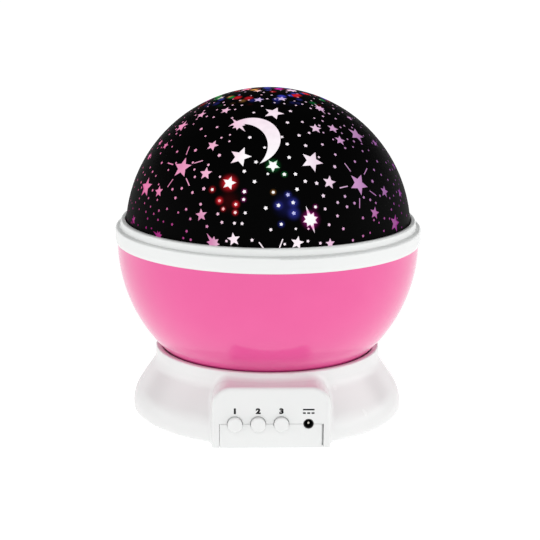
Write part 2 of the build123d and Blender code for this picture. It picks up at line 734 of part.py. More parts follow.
def base_shell():
    flare, porch = base_outside(), porch_outside()
    shell = flare + porch
    shell = fillet(new_edges(flare, porch, combined=shell), porch_blend_round)
    shell -= base_cavity()
    shell -= upright(recess_r, deck_top_z, neck_top_z + CUT)
    porch_room = arch(porch_inner_half, base_z - CUT, porch_top_z - base_wall,
                      porch_corner_round - base_wall, wall_back_y, porch_reach_y)
    shell -= porch_room - upright(neck_r, deck_z, neck_top_z)
    half_notch = tab_half_width + SEAM_GAP
    shell -= block(-half_notch, half_notch, porch_front_y - CUT, wall_back_y + CUT,
                   base_z - CUT, control_z)
    for hole in control_holes():
        shell -= hole
    for x, y in four_corners(post_x, post_y):
        shell += upright(post_r, cover_top_z + post_seat_height, deck_z, x, y)
        shell -= upright(base_screw_r + SCREW_FIT, base_z, base_z + screw_recess + base_screw_length
                         + base_screw_r + screw_tip_room, x, y)
    low, high = deck_z - CUT, deck_top_z + CUT
    shell -= upright(column_r + SCREW_FIT, low, high)
    shell -= upright(shaft_r + shaft_hole_gap, low, high, centre_distance)
    ears = [(centre_distance, side * motor_ear_reach) for side in (-1, 1)]
    for x, y in around(column_screw_circle_r, 3, 30) + ears:
        shell -= upright(fine_screw_r + SCREW_FIT, low, high, x, y)
    return shell


# ---- lower cover, door, feet ---------------------------------------------------------
def bottom_cover():
    """The plate that closes the base, with the front tab, battery bay, screw seats and posts."""
    cover = upright(cover_r, base_z, cover_top_z)
    half = porch_inner_half - SEAM_GAP
    cover += block(-half, half, wall_back_y + SEAM_GAP, porch_reach_y, base_z, cover_top_z)
    tab = block(-tab_half_width, tab_half_width, porch_front_y, wall_back_y, base_z, control_z - SEAM_GAP)
    tab += block(-tab_half_width, tab_half_width, porch_front_y, wall_back_y + 3, base_z, cover_top_z)
    for hole in control_holes():
        tab -= hole
    tab -= block(tab_half_width - pry_slot_width, tab_half_width + CUT, porch_front_y - CUT,
                 porch_front_y + pry_slot_depth, base_z + pry_slot_floor, control_z)
    cover += tab
    bay = block(-bay_half_width - bay_wall, bay_half_width + bay_wall, bay_front_y - bay_wall,
                bay_back_y + bay_wall, base_z, bay_top_z)
    cover += bay
    cover -= block(-bay_half_width, bay_half_width, bay_front_y, bay_back_y, base_z - CUT,
                   bay_inner_top_z)
    cover -= block(-bay_half_width - door_ledge, bay_half_width + door_ledge, bay_front_y - door_ledge,
                   bay_back_y + door_ledge, base_z - CUT, base_z + door_thickness + 2 * door_floor_gap)
    for x in hook_places():
        half = hook_width / 2 + SLIDE_GAP
        cover -= block(x - half, x + half, bay_front_y - bay_wall - CUT, bay_front_y + CUT,
                       cover_top_z, hook_top_z + hook_thickness)
    for x, y in four_corners(post_x, post_y):
        cover += upright(post_seat_r, base_z, cover_top_z + post_seat_height, x, y)
        cover -= upright(base_screw_r + SCREW_FIT, base_z - CUT, cover_top_z + post_seat_height + CUT, x, y)
        cover -= upright(2 * base_screw_r + SEAM_GAP, base_z - CUT, base_z + screw_recess, x, y)
    for x, y in four_corners(foot_x, foot_y):
        cover -= upright(foot_r + SCREW_FIT, base_z - CUT, base_z + foot_recess, x, y)
    for x, y in board_posts():
        cover += upright(board_post_r, cover_top_z, board_z, x, y)
    return cover


def board_posts():
    inset = board_post_r + 0.5
    return [(side * (board_half_width - inset), y) for side in (-1, 1)
            for y in (board_front_y + inset + board_post_r, board_back_y - inset)]


def hook_places():
    return (-cell_pitch, cell_pitch)


def battery_door():
    """A flat lid with two hooks at its front edge and a finger tongue at its back edge."""
    low = base_z + door_floor_gap
    top = low + door_thickness
    gap = SLIDE_GAP / 2
    half = bay_half_width + door_ledge - gap
    front, back = bay_front_y - door_ledge + gap, bay_back_y + door_ledge - gap
    door = block(-half, half, front, back, low, top)
    for x in hook_places():
        rise_y = bay_front_y + gap
        door += block(x - hook_width / 2, x + hook_width / 2, rise_y, rise_y + hook_thickness, low,
                      hook_top_z)
        door += block(x - hook_width / 2, x + hook_width / 2, rise_y - hook_reach,
                      rise_y + hook_thickness, hook_top_z - hook_thickness, hook_top_z)
    groove = door_grip_pitch / 5
    for line in range(2, 5):
        y = back - line * door_grip_pitch
        door -= block(-door_grip_half_width, door_grip_half_width, y - groove, y + groove,
                      low - CUT, low + groove)
    return door


def rubber_feet():
    return group([turned((0, 0, 0), (foot_r, 0, 0.4), (foot_r, base_z + foot_recess, 0),
                         (0, base_z + foot_recess, 0)).moved(Location((x, y, 0)))
                  for x, y in four_corners(foot_x, foot_y)])


def base_screws():
    return group([screw(base_screw_r, base_screw_length, x, y, base_z + screw_recess)
                  for x, y in four_corners(post_x, post_y)])


# ---- controls ------------------------------------------------------------------------
def button_cap(index):
    """A round cap, captive behind the panel by its flange, with a square socket at the back."""
    x = button_x(index)
    flange_y = wall_back_y + SLIDE_GAP
    cap = forward_rod(button_r, porch_front_y - button_proud, cap_tail_y, x, control_z)
    cap = fillet(cap.edges().sort_by(Axis.Y)[0], 0.5)
    cap += forward_rod(button_flange_r, flange_y, flange_y + button_flange_thickness, x, control_z)
    half = plunger_width / 2 + PRESS_SEAT
    return cap - block(x - half, x + half, cap_tail_y - plunger_in_cap, cap_tail_y + CUT,
                       control_z - half, control_z + half)


def switch_plunger(index):
    x, half = button_x(index), plunger_width / 2
    front = cap_tail_y - plunger_in_cap
    return block(x - half, x + half, front, front + plunger_length, control_z - half, control_z + half)


def push_switches():
    bodies = []
    half, bore = switch_width / 2, plunger_width / 2 + SEAM_GAP
    for index in range(button_count):
        x = button_x(index)
        body = block(x - half, x + half, switch_front_y, switch_front_y + switch_length,
                     control_z - half, control_z + half)
        body = chamfer(body.edges().filter_by(Axis.Y), 0.4)
        bodies.append(body - block(x - bore, x + bore, switch_front_y - CUT, switch_front_y
                                   + switch_bore_depth, control_z - bore, control_z + bore))
    return group(bodies)


def dc_jack():
    """A black barrel inlet whose nose fills the panel's hole."""
    half = jack_width / 2
    body = block(jack_x - half, jack_x + half, wall_back_y + SLIDE_GAP, jack_back_y,
                 board_top_z, control_z + half)
    body += forward_rod(jack_nose_r, jack_front_y, wall_back_y + CUT, jack_x, control_z)
    return body - forward_rod(jack_bore_r, jack_front_y - CUT, jack_front_y + jack_bore_depth,
                              jack_x, control_z)


def jack_pin():
    back = jack_front_y + jack_bore_depth
    pin = forward_rod(jack_pin_r, jack_front_y + jack_pin_recess, back, jack_x, control_z)
    return fillet(pin.edges().sort_by(Axis.Y)[0], 0.4 * jack_pin_r)


def control_board():
    """The circuit board on its four posts, with the sealed control chip."""
    board = block(-board_half_width, board_half_width, board_front_y, board_back_y, board_z, board_top_z)
    chip_top_z = board_top_z + chip_height
    chip = turned((0, board_top_z, 0), (chip_r, board_top_z, 0),
                  (0.75 * chip_r, chip_top_z, 0.4 * chip_height), (0, chip_top_z, 0))
    return board + Pos(-2 * chip_r, board_back_y - 1.7 * chip_r, 0) * chip


# ---- cells and contacts --------------------------------------------------------------
def cell_x(index):
    return (index - (cell_count - 1) / 2) * cell_pitch


def cell_flip(index):
    """Cells lie head to tail: 1 where the positive end is at the back."""
    return 1 if index % 2 else -1


def aaa_cells():
    cells = []
    reach = bay_length / 2 - contact_thickness - cell_nub_length
    for index in range(cell_count):
        body = turned((0, 0, 0), (cell_r, 0, 0.6), (cell_r, cell_length, 0.6), (0, cell_length, 0))
        body += upright(cell_nub_r, cell_length - CUT, cell_length + cell_nub_length)
        lying = Rot(-90, 0, 0) * body
        if cell_flip(index) < 0:
            lying = Rot(0, 0, 180) * lying
        y = bay_centre_y + cell_flip(index) * (reach - cell_length)
        cells.append(Pos(cell_x(index), y, cell_z) * lying)
    return group(cells)


def end_plate(x, outward):
    """A contact plate against the bay's end wall; outward is 1 at the back and -1 at the front."""
    wall_y = bay_centre_y + outward * bay_length / 2
    near = wall_y - outward * contact_thickness
    half = contact_width / 2
    return block(x - half, x + half, min(wall_y, near), max(wall_y, near), cell_z - half, cell_z + half)


def positive_contacts():
    return group([end_plate(cell_x(i), cell_flip(i)) for i in range(cell_count)])


def negative_springs():
    """Each plate carries a bowed leaf that presses on its cell."""
    half = contact_width / 2
    root_y = bay_length / 2 - contact_thickness / 2
    tip_y = bay_length / 2 - contact_thickness - spring_room + SCREW_FIT
    bow = make_face(Polyline(
        (root_y, -half), (tip_y, -0.6), (tip_y, 0.6), (root_y, half), (root_y, half - spring_strip),
        (tip_y + spring_leaf, 0.4), (tip_y + spring_leaf, -0.4), (root_y, spring_strip - half), close=True))
    strip = extrude(Plane.YZ * bow, spring_width / 2, both=True)
    springs = []
    for i in range(cell_count):
        outward = -cell_flip(i)
        leaf = strip if outward > 0 else Rot(0, 0, 180) * strip
        springs.append(end_plate(cell_x(i), outward) + Pos(cell_x(i), bay_centre_y, cell_z) * leaf)
    return group(springs)


# ---- internal leads ------------------------------------------------------------------
def lead(radius, bends, *points):
    """A round lead along straight runs joined by arcs, one bend radius to each corner."""
    path = FilletPolyline(*points, radius=bends)
    return sweep(Plane(path @ 0, z_dir=path % 0) * Circle(radius), path=path)


def led_lead():
    """From the board over the battery bay and up inside the column."""
    run_z = (bay_top_z + deck_z) / 2
    return lead(led_lead_r, [4.0, 3.5], (0, lead_start_y, board_top_z), (0, lead_start_y, run_z),
                (0, 0, run_z), (0, 0, column_top_z))


def motor_lead():
    """From the board's side to the motor can."""
    can_middle_z = deck_z - motor_gearbox_height - motor_can_height / 2
    return lead(thin_lead_r, [1.2, 4.0], (motor_lead_x, lead_start_y, board_top_z),
                (motor_lead_x, lead_start_y, can_middle_z),
                (centre_distance, lead_start_y + motor_lead_run, can_middle_z),
                (centre_distance, -motor_can_r, can_middle_z))


def battery_lead():
    """From the board to the front wall of the battery bay."""
    x, run_z = battery_lead_x, board_top_z + battery_lead_rise
    return lead(thin_lead_r, [2.2], (x, lead_start_y, board_top_z), (x, lead_start_y, run_z),
                (x, bay_front_y - bay_wall, run_z))


# ---- write every node ----------------------------------------------------------------
def nodes():
    whole = {
        "star_mask": star_mask(), "dome_lens": dome_lens(), "dome_ring": dome_ring(), "bowl": bowl(),
        "reflector_plate": reflector_plate(), "plate_screws": plate_screws(),
        "drive_gear": drive_gear(), "gear_screws": gear_screws(), "pinion": pinion(),
        "motor_shaft": motor_shaft(), "gear_motor": gear_motor(), "motor_screws": motor_screws(),
        "light_column": light_column(), "column_screws": column_screws(),
        "thrust_washer": thrust_washer(), "retaining_clip": retaining_clip(),
        "led_board": led_board(), "base_shell": base_shell(), "bottom_cover": bottom_cover(),
        "battery_door": battery_door(), "rubber_feet": rubber_feet(), "base_screws": base_screws(),
        "push_switches": push_switches(), "dc_jack": dc_jack(), "jack_pin": jack_pin(),
        "control_board": control_board(), "aaa_cells": aaa_cells(),
        "positive_contacts": positive_contacts(), "negative_springs": negative_springs(),
        "led_lead": led_lead(), "motor_lead": motor_lead(), "battery_lead": battery_lead(),
    }
    for index, lamp in enumerate(("warm_white_led", "red_led", "green_led", "blue_led")):
        whole[lamp] = led(index)
    for index in range(button_count):
        whole[f"button_cap_{index + 1}"] = button_cap(index)
        whole[f"switch_plunger_{index + 1}"] = switch_plunger(index)
    return whole


for name, shape in nodes().items():
    export_step(shape, f"parts/{name}.step")
    print(name, len(shape.solids()), "solid(s)", round(shape.volume), "mm3")
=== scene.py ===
# %% [markdown]
# # A star night light
# The light is a black dome pierced with stars, held by a white ring on a pink bowl. The bowl turns on a
# white base. All of its pieces come from the CAD model with their real sizes, so this lesson mostly gives
# them their finishes. It models only what the CAD leaves out: the dome's hundreds of pin-holes and the
# marks printed on the control panel.

# %% Load the CAD model
import math
import random

import bpy
from mathutils import Matrix, Vector


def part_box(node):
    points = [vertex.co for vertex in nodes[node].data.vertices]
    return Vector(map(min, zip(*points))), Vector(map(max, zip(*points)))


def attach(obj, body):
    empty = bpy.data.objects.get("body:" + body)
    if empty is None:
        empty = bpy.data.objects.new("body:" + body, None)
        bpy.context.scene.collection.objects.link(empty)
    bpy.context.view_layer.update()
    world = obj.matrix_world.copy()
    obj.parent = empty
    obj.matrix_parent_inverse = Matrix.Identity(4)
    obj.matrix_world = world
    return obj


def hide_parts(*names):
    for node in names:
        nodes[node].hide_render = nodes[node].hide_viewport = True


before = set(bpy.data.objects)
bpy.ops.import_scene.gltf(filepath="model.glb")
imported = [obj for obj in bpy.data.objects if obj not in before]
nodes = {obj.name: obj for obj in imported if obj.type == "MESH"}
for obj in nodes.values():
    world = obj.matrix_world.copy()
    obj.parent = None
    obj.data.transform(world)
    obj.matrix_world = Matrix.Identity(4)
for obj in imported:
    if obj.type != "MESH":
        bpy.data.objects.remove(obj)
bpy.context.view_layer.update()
MM = 0.001
scene = bpy.context.scene

# %% [markdown]
# ## Measures
# New pieces have to fit the CAD pieces. Their places could be typed in, but would be wrong as soon as the
# CAD changed, so they are worked out from the nodes' boxes. The dome is a part of a sphere: its height and
# the width of its foot give the sphere's radius and centre.

# %% Measure the dome and the panel
skin_low, skin_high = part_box("star_mask")
dome_rise = skin_high.z - skin_low.z
DOME_R = (dome_rise ** 2 + skin_high.x ** 2) / (2 * dome_rise)
DOME_CENTRE = Vector((0, 0, skin_high.z - DOME_R))
RING_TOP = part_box("dome_ring")[1].z
PANEL_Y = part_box("bottom_cover")[0].y
BUTTONS = [f"button_cap_{i}" for i in (1, 2, 3)]
CONTROL_Z = sum(corner.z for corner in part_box(BUTTONS[0])) / 2
print("dome radius", round(DOME_R / MM, 2), "centre height", round(DOME_CENTRE.z / MM, 2),
      "panel at y", round(PANEL_Y / MM, 2))

# %% [markdown]
# ## Camera
# The light is seen from a little above and slightly from its left. A short lens close by would swell the
# round parts, so a long one stands 70 cm away. The horizon is tipped by half a degree, as it is when a
# camera is held by hand.

# %% Set the camera
CAMERA_PLACE = Vector((-0.02376, -0.6805, 0.2226))
LOOK_AT = Vector((0.00093, 0, 0.060))
LENS = 110.2
HORIZON_TIP = math.radians(0.48)

bpy.ops.object.camera_add(location=CAMERA_PLACE)
camera = bpy.context.object
camera.rotation_euler = (LOOK_AT - CAMERA_PLACE).to_track_quat("-Z", "Y").to_euler()
camera.rotation_euler.rotate_axis("Z", HORIZON_TIP)
camera.data.lens = LENS
scene.camera = camera
print("camera stands", round((LOOK_AT - CAMERA_PLACE).length, 3), "m away")

# %% [markdown]
# ## Soft boxes
# Bare lamps would leave small hard glints on glossy plastic, so the light comes from three wide boxes. Two
# at the sides leave broad pale reflections on the bowl. One in front and above lights the ring, the flare
# of the base and the panel. A dim white sky fills the rest.

# %% Hang the soft boxes
SKY_LIGHT = 0.16
LAMPS_AIM = Vector((0, 0, 0.06))
# place and size in metres, and power in watts
SOFT_BOXES = {
    "left": ((-1.15, -0.20, 0.37), (1.4, 0.7), 3.3),
    "right": ((1.15, -0.20, 0.37), (1.4, 0.7), 5.1),
    "front": ((-0.15, -0.96, 0.95), (1.3, 0.6), 5.7),
}

scene.view_settings.view_transform = "Standard"
world = bpy.data.worlds.new("tent")
world.use_nodes = True
world.node_tree.nodes["Background"].inputs["Color"].default_value = (1, 1, 1, 1)
world.node_tree.nodes["Background"].inputs["Strength"].default_value = SKY_LIGHT
scene.world = world

stage_pieces = []
for side, (place, (wide, high), watts) in SOFT_BOXES.items():
    bpy.ops.object.light_add(type="AREA", location=place)
    lamp = bpy.context.object
    lamp.name = "soft_box_" + side
    lamp.rotation_euler = (LAMPS_AIM - Vector(place)).to_track_quat("-Z", "Y").to_euler()
    lamp.data.shape = "RECTANGLE"
    lamp.data.size, lamp.data.size_y, lamp.data.energy = wide, high, watts
    stage_pieces.append(lamp)
print(len(stage_pieces), "soft boxes")

# %% [markdown]
# ## Floor and wall
# The light stands on a wide floor inside a round wall. Most views never show the wall, but the low ones
# would end in the grey sky without it. A floor bent up into a backdrop would do for one view only, and this
# light is looked at from all sides. The floor lies a hair under the feet, so that they don't share a face.
# None of this belongs to the light itself, so it is put in the list of stage pieces.

# %% Lay the floor and stand the wall
FLOOR_SIZE, FLOOR_GAP = 20, 0.1 * MM
WALL_R, WALL_HEIGHT, WALL_MIDDLE = 9, 3.4, -0.2

bpy.ops.object.select_all(action="DESELECT")
bpy.ops.mesh.primitive_plane_add(size=FLOOR_SIZE, location=(0, 0, -FLOOR_GAP))
bpy.ops.object.transform_apply()
floor = bpy.context.object
floor.name = "studio_floor"
bpy.ops.mesh.primitive_cylinder_add(radius=WALL_R, depth=WALL_HEIGHT, end_fill_type="NOTHING",
                                    location=(0, 0, WALL_MIDDLE))
bpy.ops.object.transform_apply()
wall = bpy.context.object
wall.name = "studio_wall"
stage_pieces += [floor, wall]
print(len(stage_pieces), "stage pieces")

# %% [markdown]
# ## Sums in a finish
# A finish is a tree of shader nodes. Its sums could be built node by node, but they would be hard to read.
# `Socket` stands for one output in the tree and overloads the operators, so that an expression adds its own
# Math nodes. Colours are written as they look on a screen, and `paint` turns them into light values.

# %% Define paint and Socket
def paint(hexadecimal):
    """A colour as it is written for the screen, turned into the light values that shaders use."""
    parts = [int(hexadecimal[i:i + 2], 16) / 255 for i in (1, 3, 5)]
    return tuple(p / 12.92 if p <= 0.04045 else ((p + 0.055) / 1.055) ** 2.4 for p in parts) + (1.0,)


class Socket:
    """One output in a finish's node tree. Arithmetic on it adds Math nodes."""

    def __init__(self, finish, output):
        self.finish, self.output = finish, output

    def math(self, operation, other=0.0, swapped=False):
        values = {0: other, 1: self} if swapped else {0: self, 1: other}
        return self.finish.node("ShaderNodeMath", {"operation": operation}, values)

    def __add__(self, other):
        return self.math("ADD", other)

    def __sub__(self, other):
        return self.math("SUBTRACT", other)

    def __rsub__(self, other):
        return self.math("SUBTRACT", other, swapped=True)

    def __mul__(self, other):
        return self.math("MULTIPLY", other)

    def __truediv__(self, other):
        return self.math("DIVIDE", other)

    def __pow__(self, other):
        return self.math("POWER", other)

    def __lt__(self, other):
        return self.math("LESS_THAN", other)

    def __gt__(self, other):
        return self.math("GREATER_THAN", other)

    __radd__, __rmul__ = __add__, __mul__


print("a middle grey on the screen is", round(paint("#808080")[0], 3), "as light")

# %% [markdown]
# ## Finishes
# `Finish` is a material with one Principled shader. Its nodes could be added and wired one by one, but that
# takes several lines each. Instead one method, `node`, takes the node's type, its settings and its inputs,
# and the short methods under it are the few things that this light's finishes are made of. They go by the
# place on the surface in metres, so a grain has its real size on every piece.

# %% Define Finish
class Finish:
    """A material with one Principled shader, whose plain values are given as keywords."""

    def __init__(self, name, colour, **values):
        self.material = bpy.data.materials.new(name)
        self.material.use_nodes = True
        self.tree = self.material.node_tree
        self.shader = self.tree.nodes["Principled BSDF"]
        self.shader.inputs["Base Color"].default_value = colour
        for quality, value in values.items():
            self.shader.inputs[quality.replace("_", " ")].default_value = value

    def node(self, kind, settings, inputs, output=0):
        """Add a node: its settings first, then its inputs' values or links. Returns one output."""
        node = self.tree.nodes.new(kind)
        for name, value in settings.items():
            if name == "stops":
                elements = node.color_ramp.elements
                elements.remove(elements[1])
                for place, colour in value:
                    stop = elements[0] if place == value[0][0] else elements.new(place)
                    stop.position, stop.color = place, colour
            elif name == "interpolation":
                node.color_ramp.interpolation = value
            else:
                setattr(node, name, value)
        for name, value in inputs.items():
            if isinstance(value, Socket):
                self.tree.links.new(value.output, node.inputs[name])
            else:
                node.inputs[name].default_value = value
        return Socket(self, node.outputs[output])

    def feed(self, input_name, socket):
        self.tree.links.new(socket.output, self.shader.inputs[input_name])

    def place(self):
        """The point of the surface, in metres in the CAD model's own frame."""
        return self.node("ShaderNodeTexCoord", {}, {}, "Object")

    def along(self, axis):
        return self.node("ShaderNodeSeparateXYZ", {}, {0: self.place()}, axis)

    def distance(self, point):
        """How far the surface is from a point."""
        return self.node("ShaderNodeVectorMath", {"operation": "DISTANCE"}, {0: self.place(), 1: point},
                         "Value")

    def fade(self, value, start, end):
        """0 where the value is at the start, 1 where it is at the end, and smooth between."""
        return self.node("ShaderNodeMapRange", {"interpolation_type": "SMOOTHSTEP"},
                         {"Value": value, "From Min": start, "From Max": end}, "Result")

    def pebbles(self, size, output):
        """Voronoi cells of the size given in metres: a Distance from each middle, or a random Color."""
        return self.node("ShaderNodeTexVoronoi", {}, {"Vector": self.place(), "Scale": 1 / size}, output)

    def noise(self, grain, detail=2.0):
        """Soft random grey, with grains of the size given in metres."""
        return self.node("ShaderNodeTexNoise", {}, {"Vector": self.place(), "Scale": 1 / grain,
                                                    "Detail": detail}, "Fac")

    def mix(self, share, first, second, blend="MIX"):
        return self.node("ShaderNodeMix", {"data_type": "RGBA", "blend_type": blend},
                         {0: share, 6: first, 7: second}, 2)

    def ramp(self, share, *stops, interpolation="LINEAR"):
        return self.node("ShaderNodeValToRGB", {"stops": stops, "interpolation": interpolation},
                         {"Fac": share}, "Color")

    def roughen(self, middle, spread, grain, detail=2.0):
        """A roughness that wanders by the spread round a middle value."""
        self.feed("Roughness", self.noise(grain, detail) * spread + (middle - spread / 2))

    def bump(self, height, depth):
        self.feed("Normal", self.node("ShaderNodeBump", {}, {"Height": height, "Distance": depth,
                                                             "Strength": 1.0}, "Normal"))


def dress(finish, *names):
    """Give CAD nodes a finish in place of their plain colour."""
    for name in names:
        nodes[name].data.materials.clear()
        nodes[name].data.materials.append(finish.material)
    print(finish.material.name, "->", ", ".join(names))


print("Finish has", len([name for name in vars(Finish) if not name.startswith("_")]), "methods")

# %% [markdown]
# ## Light table
# Floor and wall are a light table, a matt white sheet lit from behind. Its glow takes away the shadow at
# the foot and the horizon. Plain white card would need so much light that the white base would burn out.
# Near the light the sheet glows a little less, a painted shade round the base's foot, so that the foot
# doesn't melt into it.

# %% Finish the floor and the wall
NEAR_GLOW, FAR_GLOW = (0.87, 0.87, 0.87, 1), (1, 1, 1, 1)
NEAR_END, FAR_START = 0.10, 1.20            # metres from where the light stands

card = Finish("light table", paint("#a6a6a6"), Roughness=1.0, Specular_IOR_Level=0.0, Emission_Strength=1.0)
# the glow is dimmed near the light: a painted shade round the base's foot
away = card.fade(card.distance(Vector((0, 0, 0))), NEAR_END, FAR_START)
card.feed("Emission Color", card.mix(away, NEAR_GLOW, FAR_GLOW))
floor.data.materials.append(card.material)
wall.data.materials.append(card.material)
print("floor and wall are", card.material.name)

# %% [markdown]
# ## The skin, copied and closed
# On the real light the dome is clear plastic under a thin black skin. Stars and a moon are cut out of the
# skin, and between them are hundreds of pin-holes. The CAD has the stars, because they are the pattern
# that the lamps throw on the ceiling. The pin-holes are drilled here: a painted dot would be quicker, but
# a drilled one has an edge that catches light and is there in the mesh. The CAD's own mesh is left alone.
# Its copy is merged first, because CAD meshes are loose triangles and a Boolean needs a closed shell.

# %% Copy and close the skin
def choose(*objects):
    """Select these objects alone and make the first one active."""
    bpy.ops.object.select_all(action="DESELECT")
    for thing in objects:
        thing.select_set(True)
    bpy.context.view_layer.objects.active = objects[0]


skin = bpy.data.objects.new("pierced_skin", nodes["star_mask"].data.copy())
scene.collection.objects.link(skin)
choose(skin)
bpy.ops.mesh.customdata_custom_splitnormals_clear()
bpy.ops.object.mode_set(mode="EDIT")
bpy.ops.mesh.select_all(action="SELECT")
bpy.ops.mesh.remove_doubles(threshold=0.001 * MM)
bpy.ops.object.mode_set(mode="OBJECT")
print("skin has", len(skin.data.vertices), "vertices after merging")

# %% [markdown]
# ## Pin-holes placed one by one
# The front of the dome has pin-holes in small groups that are easy to see. A random scatter wouldn't give
# those groups, so each hole is listed, in degrees round the axis, 0 at the front, and up from the dome's
# centre. `is_whole` leaves out a hole that would run into a window. It shoots rays at the skin round the
# place: a ray that gets deeper than the outer face has found a window.

# %% Place the holes that are seen most
LARGE_HOLES = [
    (17, 64), (11, 57), (-48, 51), (16, 50), (-13, 49), (8, 46), (18, 45), (-42, 41), (-27, 40), (8, 40),
    (-8, 38), (30, 35), (-13, 34), (5, 33), (10, 33), (-8, 30), (14, 30), (19, 29), (10, 27), (49, 27),
    (-30, 26), (-12, 26), (6, 25), (21, 24), (8, 22), (2, 21), (-3, 20), (8, 18),
]
MIDDLE_HOLES = [
    (-15, 63), (22, 57), (-37, 53), (23, 51), (28, 45), (33, 40), (-54, 39), (43, 36), (60, 34), (-61, 33),
    (-26, 26), (0, 26), (-41, 25), (-46, 24), (-35, 24), (-12, 23), (31, 23), (-22, 22), (-43, 21),
    (-15, 21), (27, 21), (-30, 20), (31, 19), (26, 16), (3, 14), (-1, 12), (17, 20), (35, 20), (-20, 19),
    (21, 19), (-15, 18), (-11, 18), (-26, 17), (-22, 17), (-15, 14), (-12, 14), (-20, 14), (22, 13),
    (38, 14), (-26, 12), (28, 11), (-8, 8),
]
LARGE_R, MIDDLE_R = 0.86 * MM, 0.72 * MM
HAND_SPACING = 5.6 * MM         # scattered holes stay this far from the listed ones
HOLE_WEB = 0.5 * MM             # whole skin that stays round a hole
DENT = 0.15 * MM                # a ray that gets this deep has missed the outer face
RAY_START = 1.1 * DOME_R        # rays start this far from the dome's centre, outside the skin


def outward(azimuth, elevation):
    """A direction from the dome's centre; azimuth 0 is the front."""
    a, e = azimuth, elevation
    return Vector((math.sin(a) * math.cos(e), -math.cos(a) * math.cos(e), math.sin(e)))


def is_whole(out, reach):
    """Whether the skin's outer face is whole at a place and all round it."""
    side = out.orthogonal().normalized()
    for turn in range(0, 360, 45):
        spoke = Matrix.Rotation(math.radians(turn), 3, out) @ side
        for length in (0, reach):
            aim = (out * DOME_R + spoke * length).normalized()
            found, point, _, _ = skin.ray_cast(DOME_CENTRE + aim * RAY_START, -aim)
            if not found or (point - DOME_CENTRE).length < DOME_R - DENT:
                return False
    return True


holes = []                      # direction, radius, and how far other holes stay away
for row, radius in ((LARGE_HOLES, LARGE_R), (MIDDLE_HOLES, MIDDLE_R)):
    for azimuth, elevation in row:
        out = outward(math.radians(azimuth), math.radians(elevation))
        if is_whole(out, radius + HOLE_WEB / 2):
            holes.append((out, radius, HAND_SPACING))
placed_by_hand = len(holes)
print(placed_by_hand, "pin-holes placed by hand")

# %% [markdown]
# ## Scattered pin-holes
# The rest of the dome is covered at random. A grid would show its rows and a plain scatter would clump, so
# a hole is tried at a random place and kept if it is far enough from the others and the skin is whole round
# it. Scattered holes keep well away from the listed ones, so these stand out. The dice are seeded, so the
# dome is the same each time.

# %% Scatter the rest
SMALL_R = (0.50 * MM, 0.70 * MM)
TRIES = 2600
NEAR_TOP = math.radians(64)     # above this the scattered holes lie closer together
SPACING, TOP_SPACING = 3.1 * MM, 2.8 * MM
RING_GAP = 0.8 * MM             # bare skin above the ring

lowest = math.asin((RING_TOP + RING_GAP - DOME_CENTRE.z) / DOME_R)
dice = random.Random(5)
for _ in range(TRIES):
    elevation = math.asin(dice.uniform(math.sin(lowest), 1))
    out = outward(dice.uniform(-math.pi, math.pi), elevation)
    radius = dice.uniform(*SMALL_R)
    spacing = TOP_SPACING if elevation > NEAR_TOP else SPACING
    is_clear = all((out - other).length * DOME_R > max(spacing, clear) for other, _, clear in holes)
    if is_clear and is_whole(out, radius + HOLE_WEB):
        holes.append((out, radius, spacing))
print(len(holes) - placed_by_hand, "pin-holes scattered,", len(holes), "in all")

# %% [markdown]
# ## The peg
# The pin-holes are tiny five-pointed stars. A fine star could be extruded from an outline, but hundreds of
# copies of it would be slow to cut. A cylinder with ten sides is enough: every second corner is selected
# and pulled in.

# %% Model the peg
PEG_POINTS = 5
PEG_WAIST = 0.66                # the star's inner corners, as a share of its outer ones
PEG_LENGTH = 2 * MM

bpy.ops.mesh.primitive_cylinder_add(vertices=2 * PEG_POINTS, radius=1, depth=PEG_LENGTH)
first_peg = bpy.context.object
bpy.ops.object.mode_set(mode="EDIT")
bpy.ops.mesh.select_mode(type="VERT")
bpy.ops.mesh.select_all(action="DESELECT")
bpy.ops.object.mode_set(mode="OBJECT")
for corner in first_peg.data.vertices:
    steps_round = math.atan2(corner.co.x, corner.co.y) / (math.pi / PEG_POINTS)
    corner.select = round(steps_round) % 2 == 1
bpy.ops.object.mode_set(mode="EDIT")
bpy.ops.transform.resize(value=(PEG_WAIST, PEG_WAIST, 1), center_override=(0, 0, 0))
bpy.ops.object.mode_set(mode="OBJECT")
print("peg has", len(first_peg.data.vertices), "corners")

# %% [markdown]
# ## Drill the pin-holes
# A peg is copied to each place, along the dome's radius there and turned at random. Hundreds of separate
# cuts would be slow, so the pegs are joined and cut from the skin in one Boolean. The skin is then shaded
# smooth, apart from the windows' edges.

# %% Drill
SHARP_FROM = math.radians(30)   # edges that bend more than this stay sharp

pegs = []
for out, radius, _ in holes:
    peg = first_peg.copy()
    peg.data = first_peg.data.copy()
    spin = Matrix.Rotation(dice.uniform(0, 6), 4, "Z")      # in radians, so nearly once round
    turn = out.to_track_quat("Z", "Y").to_matrix().to_4x4() @ spin
    peg.matrix_world = (Matrix.Translation(DOME_CENTRE + out * DOME_R) @ turn
                        @ Matrix.Diagonal((radius, radius, 1, 1)))
    scene.collection.objects.link(peg)
    pegs.append(peg)
bpy.data.objects.remove(first_peg)
choose(*pegs)
bpy.ops.object.join()
drill = bpy.context.object
choose(skin)
cut = skin.modifiers.new("pin-holes", "BOOLEAN")
cut.operation, cut.solver, cut.object = "DIFFERENCE", "MANIFOLD", drill
bpy.ops.object.modifier_apply(modifier=cut.name)
bpy.data.objects.remove(drill)
bpy.ops.object.shade_smooth_by_angle(angle=SHARP_FROM)
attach(skin, "head")
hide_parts("star_mask")
print("skin drilled:", len(skin.data.polygons), "faces")

